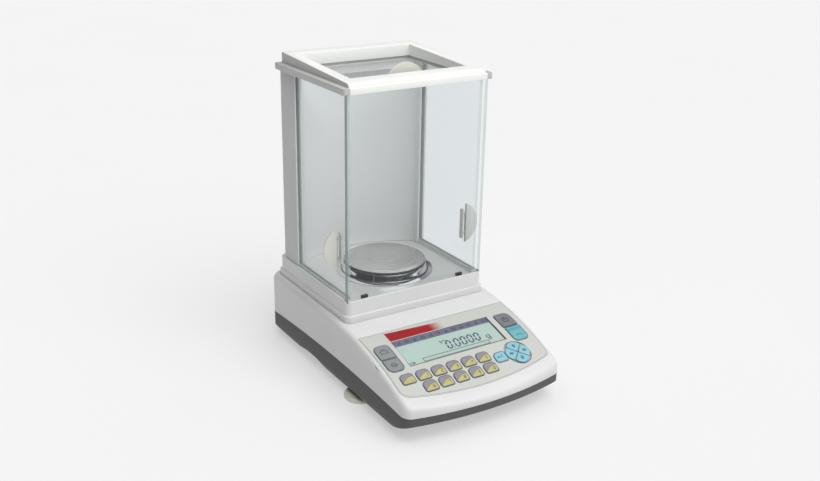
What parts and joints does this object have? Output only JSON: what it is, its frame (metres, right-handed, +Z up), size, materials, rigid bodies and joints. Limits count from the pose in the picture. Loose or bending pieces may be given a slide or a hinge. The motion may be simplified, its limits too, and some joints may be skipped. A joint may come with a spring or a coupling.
{
  "type": "analytical balance",
  "caption": "Analytical balance with a glass draft shield, sliding side and top doors, a round weighing pan, a sloping keypad with a display and levelling feet.",
  "frame": {"origin": "on the bench, under the middle of the base's length and width", "axes": "+Z up, +Y towards the back, +X to the operator's right"},
  "size_m": [0.214, 0.33, 0.3539],
  "materials": {
    "shell_grey": "fine matte moulded texture",
    "housing_white": "fine satin texture",
    "plinth_white": "fine satin texture",
    "frame_white": "satin paint",
    "column_grey": "smooth satin",
    "floor_steel": "brushed",
    "pan_steel": "fine turned finish",
    "ring_chrome": "polished",
    "pane_glass": "clear float glass, polished edges",
    "handle_cream": "satin moulded",
    "clip_dark": "matte",
    "track_plastic": "smooth",
    "keypad_film": "fine textured polyester film",
    "display_clear": "clear window",
    "display_glass": "liquid crystal glass",
    "circuit_green": "solder mask",
    "key_violet": "printed film over a dome",
    "key_grey": "printed film over a dome",
    "key_slate": "printed film over a dome",
    "key_turquoise": "printed film over a dome",
    "key_blue": "printed film over a dome",
    "foot_cream": "satin moulded",
    "foot_rubber": "matte",
    "brass": "machined",
    "screw_steel": "zinc plated",
    "cell_aluminium": "machined",
    "magnet_steel": "nickel plated",
    "panel_grey": "powder coat",
    "socket_black": "moulded",
    "port_steel": "tin plated",
    "vial_liquid": "filled vial",
    "bezel_steel": "polished",
    "carrier_aluminium": "machined"
  },
  "bodies": {
    "base": {"balance_beam": "cell_aluminium", "base_shell": "shell_grey", "cell_flexures": "cell_aluminium", "cell_frame": "cell_aluminium", "chamber_plinth": "plinth_white", "display_board": "circuit_green", "display_window": "display_clear", "door_tracks": "track_plastic", "floor_plate": "floor_steel", "foot_inserts": "brass", "front_glass": "pane_glass", "glass_clips": "clip_dark", "housing_screws": "screw_steel", "key_domes": "screw_steel", "keypad_membrane": "circuit_green", "keypad_overlay": "keypad_film", "lcd_module": "display_glass", "level_bezel": "bezel_steel", "level_vial": "vial_liquid", "magnet_pot": "magnet_steel", "main_board": "circuit_green", "power_socket": "socket_black", "rear_column": "column_grey", "rear_feet": "foot_rubber", "rear_panel": "panel_grey", "serial_port": "port_steel", "shield_ring": "ring_chrome", "top_frame": "frame_white", "upper_housing": "housing_white"},
    "carrier": {"pan_carrier": "carrier_aluminium"},
    "pan": {"weighing_pan": "pan_steel"},
    "left_door": {"left_door_glass": "pane_glass", "left_door_handle": "handle_cream"},
    "right_door": {"right_door_glass": "pane_glass", "right_door_handle": "handle_cream"},
    "top_door": {"top_door_glass": "pane_glass", "top_door_handle": "handle_cream"},
    "left_foot": {"foot_left": "foot_cream"},
    "right_foot": {"foot_right": "foot_cream"},
    "print_key_cap": {"print_key": "key_grey"},
    "unit_key_cap": {"unit_key": "key_grey"},
    "power_key_cap": {"power_key": "key_slate"},
    "tare_key_cap": {"tare_key": "key_turquoise"},
    "enter_key_cap": {"enter_key": "key_blue"},
    "number_key_01_cap": {"number_key_01": "key_violet"},
    "number_key_02_cap": {"number_key_02": "key_violet"},
    "number_key_03_cap": {"number_key_03": "key_violet"},
    "number_key_04_cap": {"number_key_04": "key_violet"},
    "number_key_05_cap": {"number_key_05": "key_violet"},
    "number_key_06_cap": {"number_key_06": "key_violet"},
    "number_key_07_cap": {"number_key_07": "key_violet"},
    "number_key_08_cap": {"number_key_08": "key_violet"},
    "number_key_09_cap": {"number_key_09": "key_violet"},
    "number_key_10_cap": {"number_key_10": "key_violet"},
    "number_key_11_cap": {"number_key_11": "key_violet"},
    "arrow_up_key_cap": {"arrow_up_key": "key_blue"},
    "arrow_down_key_cap": {"arrow_down_key": "key_blue"},
    "arrow_left_key_cap": {"arrow_left_key": "key_blue"},
    "arrow_right_key_cap": {"arrow_right_key": "key_blue"}
  },
  "joints": [
    {"name": "left_door_slide", "type": "slide", "parent": "base", "child": "left_door", "axis": [0, 1, 0], "range_m": [0, 0.085]},
    {"name": "right_door_slide", "type": "slide", "parent": "base", "child": "right_door", "axis": [0, 1, 0], "range_m": [0, 0.085]},
    {"name": "top_door_slide", "type": "slide", "parent": "base", "child": "top_door", "axis": [0, 1, 0], "range_m": [0, 0.095]},
    {"name": "carrier_travel", "type": "slide", "parent": "base", "child": "carrier", "axis": [0, 0, -1], "range_m": [0, 0.0003], "stiffness_N_per_m": 20000, "springref_m": -0.00007},
    {"name": "pan_lift", "type": "slide", "parent": "carrier", "child": "pan", "axis": [0, 0, 1], "range_m": [0, 0.08]},
    {"name": "left_foot_turn", "type": "hinge", "parent": "base", "child": "left_foot", "pos_m": [-0.088, -0.041, 0.003], "axis": [0, 0, 1], "continuous": true},
    {"name": "right_foot_turn", "type": "hinge", "parent": "base", "child": "right_foot", "pos_m": [0.088, -0.041, 0.003], "axis": [0, 0, 1], "continuous": true},
    {"name": "print_key_press", "type": "slide", "parent": "base", "child": "print_key_cap", "axis": [0, 0.2409, -0.9705], "range_m": [0, 0.0004], "stiffness_N_per_m": 3000},
    {"name": "unit_key_press", "type": "slide", "parent": "base", "child": "unit_key_cap", "axis": [0, 0.2974, -0.9548], "range_m": [0, 0.0004], "stiffness_N_per_m": 3000},
    {"name": "power_key_press", "type": "slide", "parent": "base", "child": "power_key_cap", "axis": [0, 0.242, -0.9703], "range_m": [0, 0.0004], "stiffness_N_per_m": 3000},
    {"name": "tare_key_press", "type": "slide", "parent": "base", "child": "tare_key_cap", "axis": [0, 0.3051, -0.9523], "range_m": [0, 0.0004], "stiffness_N_per_m": 3000},
    {"name": "enter_key_press", "type": "slide", "parent": "base", "child": "enter_key_cap", "axis": [0, 0.3725, -0.928], "range_m": [0, 0.0004], "stiffness_N_per_m": 3000},
    {"name": "number_key_01_press", "type": "slide", "parent": "base", "child": "number_key_01_cap", "axis": [0, 0.3559, -0.9345], "range_m": [0, 0.0004], "stiffness_N_per_m": 3000},
    {"name": "number_key_02_press", "type": "slide", "parent": "base", "child": "number_key_02_cap", "axis": [0, 0.3559, -0.9345], "range_m": [0, 0.0004], "stiffness_N_per_m": 3000},
    {"name": "number_key_03_press", "type": "slide", "parent": "base", "child": "number_key_03_cap", "axis": [0, 0.3559, -0.9345], "range_m": [0, 0.0004], "stiffness_N_per_m": 3000},
    {"name": "number_key_04_press", "type": "slide", "parent": "base", "child": "number_key_04_cap", "axis": [0, 0.3559, -0.9345], "range_m": [0, 0.0004], "stiffness_N_per_m": 3000},
    {"name": "number_key_05_press", "type": "slide", "parent": "base", "child": "number_key_05_cap", "axis": [0, 0.3559, -0.9345], "range_m": [0, 0.0004], "stiffness_N_per_m": 3000},
    {"name": "number_key_06_press", "type": "slide", "parent": "base", "child": "number_key_06_cap", "axis": [0, 0.3559, -0.9345], "range_m": [0, 0.0004], "stiffness_N_per_m": 3000},
    {"name": "number_key_07_press", "type": "slide", "parent": "base", "child": "number_key_07_cap", "axis": [0, 0.3961, -0.9182], "range_m": [0, 0.0004], "stiffness_N_per_m": 3000},
    {"name": "number_key_08_press", "type": "slide", "parent": "base", "child": "number_key_08_cap", "axis": [0, 0.3961, -0.9182], "range_m": [0, 0.0004], "stiffness_N_per_m": 3000},
    {"name": "number_key_09_press", "type": "slide", "parent": "base", "child": "number_key_09_cap", "axis": [0, 0.3961, -0.9182], "range_m": [0, 0.0004], "stiffness_N_per_m": 3000},
    {"name": "number_key_10_press", "type": "slide", "parent": "base", "child": "number_key_10_cap", "axis": [0, 0.3961, -0.9182], "range_m": [0, 0.0004], "stiffness_N_per_m": 3000},
    {"name": "number_key_11_press", "type": "slide", "parent": "base", "child": "number_key_11_cap", "axis": [0, 0.3961, -0.9182], "range_m": [0, 0.0004], "stiffness_N_per_m": 3000},
    {"name": "arrow_up_key_press", "type": "slide", "parent": "base", "child": "arrow_up_key_cap", "axis": [0, 0.3725, -0.928], "range_m": [0, 0.0004], "stiffness_N_per_m": 3000},
    {"name": "arrow_down_key_press", "type": "slide", "parent": "base", "child": "arrow_down_key_cap", "axis": [0, 0.3725, -0.928], "range_m": [0, 0.0004], "stiffness_N_per_m": 3000},
    {"name": "arrow_left_key_press", "type": "slide", "parent": "base", "child": "arrow_left_key_cap", "axis": [0, 0.3725, -0.928], "range_m": [0, 0.0004], "stiffness_N_per_m": 3000},
    {"name": "arrow_right_key_press", "type": "slide", "parent": "base", "child": "arrow_right_key_cap", "axis": [0, 0.3725, -0.928], "range_m": [0, 0.0004], "stiffness_N_per_m": 3000}
  ]
}
